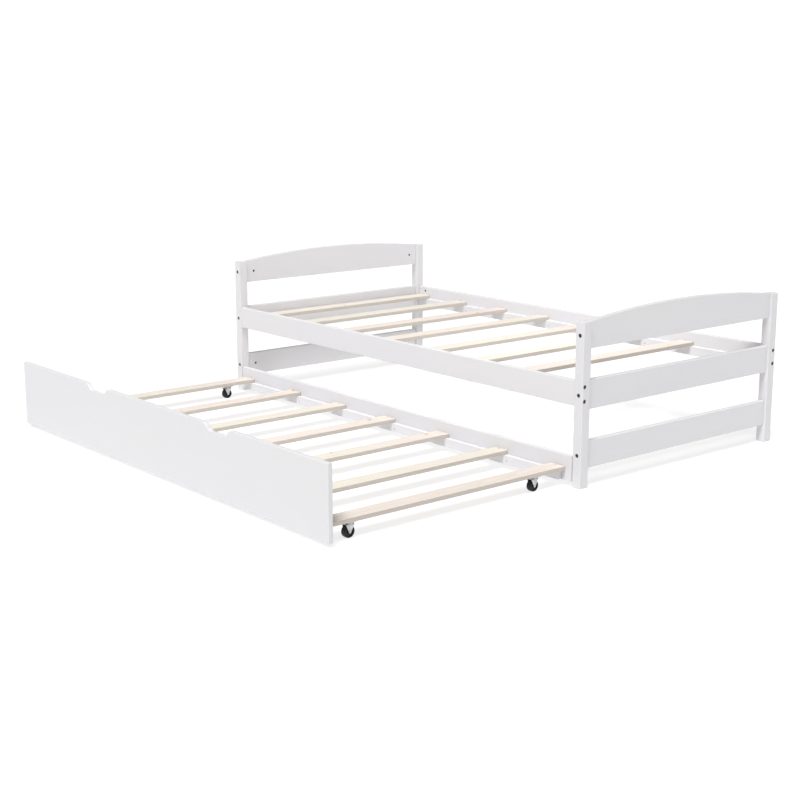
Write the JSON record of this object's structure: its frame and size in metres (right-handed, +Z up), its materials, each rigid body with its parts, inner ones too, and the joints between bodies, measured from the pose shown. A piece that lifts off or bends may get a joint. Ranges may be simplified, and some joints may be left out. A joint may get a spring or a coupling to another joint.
{
  "type": "trundle bed",
  "caption": "Low post-and-rail bed with an arched headboard and footboard, and a slatted trundle on swivel casters that rolls out from beneath it.",
  "frame": {"origin": "on the floor, under the middle of the whole object's box with the trundle pulled out", "axes": "+X along the bed from the headboard to the footboard, +Y across it from the trundle towards the far side, +Z up"},
  "size_m": [2.04, 2.04, 0.591],
  "materials": {
    "white_paint": "satin white paint over solid wood",
    "pine": "bare planed pine",
    "zinc_steel": "bright zinc plate",
    "black_steel": "black oxide",
    "black_plastic": "moulded black plastic"
  },
  "bodies": {
    "bed_frame": {"post_headboard_near": "white_paint", "post_headboard_far": "white_paint", "post_footboard_near": "white_paint", "post_footboard_far": "white_paint", "headboard_lower_rail": "white_paint", "headboard_middle_rail": "white_paint", "headboard_top_rail": "white_paint", "footboard_lower_rail": "white_paint", "footboard_middle_rail": "white_paint", "footboard_top_rail": "white_paint", "side_rail_near": "white_paint", "side_rail_far": "white_paint", "bolt_headboard_near_lower": "black_steel", "bolt_headboard_near_upper": "black_steel", "bolt_headboard_far_lower": "black_steel", "bolt_headboard_far_upper": "black_steel", "bolt_footboard_near_lower": "black_steel", "bolt_footboard_near_upper": "black_steel", "bolt_footboard_far_lower": "black_steel", "bolt_footboard_far_upper": "black_steel", "slat_ledger_near": "white_paint", "slat_ledger_far": "white_paint", "bed_slat_1": "pine", "bed_slat_2": "pine", "bed_slat_3": "pine", "bed_slat_4": "pine", "bed_slat_5": "pine", "bed_slat_6": "pine", "bed_slat_7": "pine", "bed_slat_8": "pine"},
    "trundle": {"trundle_front_panel": "white_paint", "trundle_back_rail": "white_paint", "trundle_ledger_front": "white_paint", "trundle_ledger_back": "white_paint", "trundle_slat_1": "pine", "trundle_slat_2": "pine", "trundle_slat_3": "pine", "trundle_slat_4": "pine", "trundle_slat_5": "pine", "trundle_slat_6": "pine", "trundle_slat_7": "pine", "caster_front_head_plate": "zinc_steel", "caster_front_foot_plate": "zinc_steel", "caster_back_head_plate": "zinc_steel", "caster_back_foot_plate": "zinc_steel"},
    "caster_front_head": {"caster_front_head_fork": "zinc_steel", "caster_front_head_axle": "zinc_steel"},
    "caster_front_head_wheel_body": {"caster_front_head_wheel": "black_plastic"},
    "caster_front_foot": {"caster_front_foot_fork": "zinc_steel", "caster_front_foot_axle": "zinc_steel"},
    "caster_front_foot_wheel_body": {"caster_front_foot_wheel": "black_plastic"},
    "caster_back_head": {"caster_back_head_fork": "zinc_steel", "caster_back_head_axle": "zinc_steel"},
    "caster_back_head_wheel_body": {"caster_back_head_wheel": "black_plastic"},
    "caster_back_foot": {"caster_back_foot_fork": "zinc_steel", "caster_back_foot_axle": "zinc_steel"},
    "caster_back_foot_wheel_body": {"caster_back_foot_wheel": "black_plastic"}
  },
  "joints": [
    {"name": "trundle_roll_out", "type": "slide", "parent": "bed_frame", "child": "trundle", "axis": [0, 1, 0], "range_m": [-0.35, 1.01]},
    {"name": "caster_front_head_swivel", "type": "hinge", "parent": "trundle", "child": "caster_front_head", "pos_m": [-0.9045, -0.908, 0.0471], "axis": [0, 0, 1], "continuous": true},
    {"name": "caster_front_head_spin", "type": "hinge", "parent": "caster_front_head", "child": "caster_front_head_wheel_body", "pos_m": [-0.9045, -0.912, 0.02], "axis": [1, 0, 0], "continuous": true},
    {"name": "caster_front_foot_swivel", "type": "hinge", "parent": "trundle", "child": "caster_front_foot", "pos_m": [0.93, -0.908, 0.0471], "axis": [0, 0, 1], "continuous": true},
    {"name": "caster_front_foot_spin", "type": "hinge", "parent": "caster_front_foot", "child": "caster_front_foot_wheel_body", "pos_m": [0.93, -0.912, 0.02], "axis": [1, 0, 0], "continuous": true},
    {"name": "caster_back_head_swivel", "type": "hinge", "parent": "trundle", "child": "caster_back_head", "pos_m": [-0.9045, -0.1385, 0.0471], "axis": [0, 0, 1], "continuous": true},
    {"name": "caster_back_head_spin", "type": "hinge", "parent": "caster_back_head", "child": "caster_back_head_wheel_body", "pos_m": [-0.9045, -0.1425, 0.02], "axis": [1, 0, 0], "continuous": true},
    {"name": "caster_back_foot_swivel", "type": "hinge", "parent": "trundle", "child": "caster_back_foot", "pos_m": [0.93, -0.1385, 0.0471], "axis": [0, 0, 1], "continuous": true},
    {"name": "caster_back_foot_spin", "type": "hinge", "parent": "caster_back_foot", "child": "caster_back_foot_wheel_body", "pos_m": [0.93, -0.1425, 0.02], "axis": [1, 0, 0], "continuous": true}
  ]
}
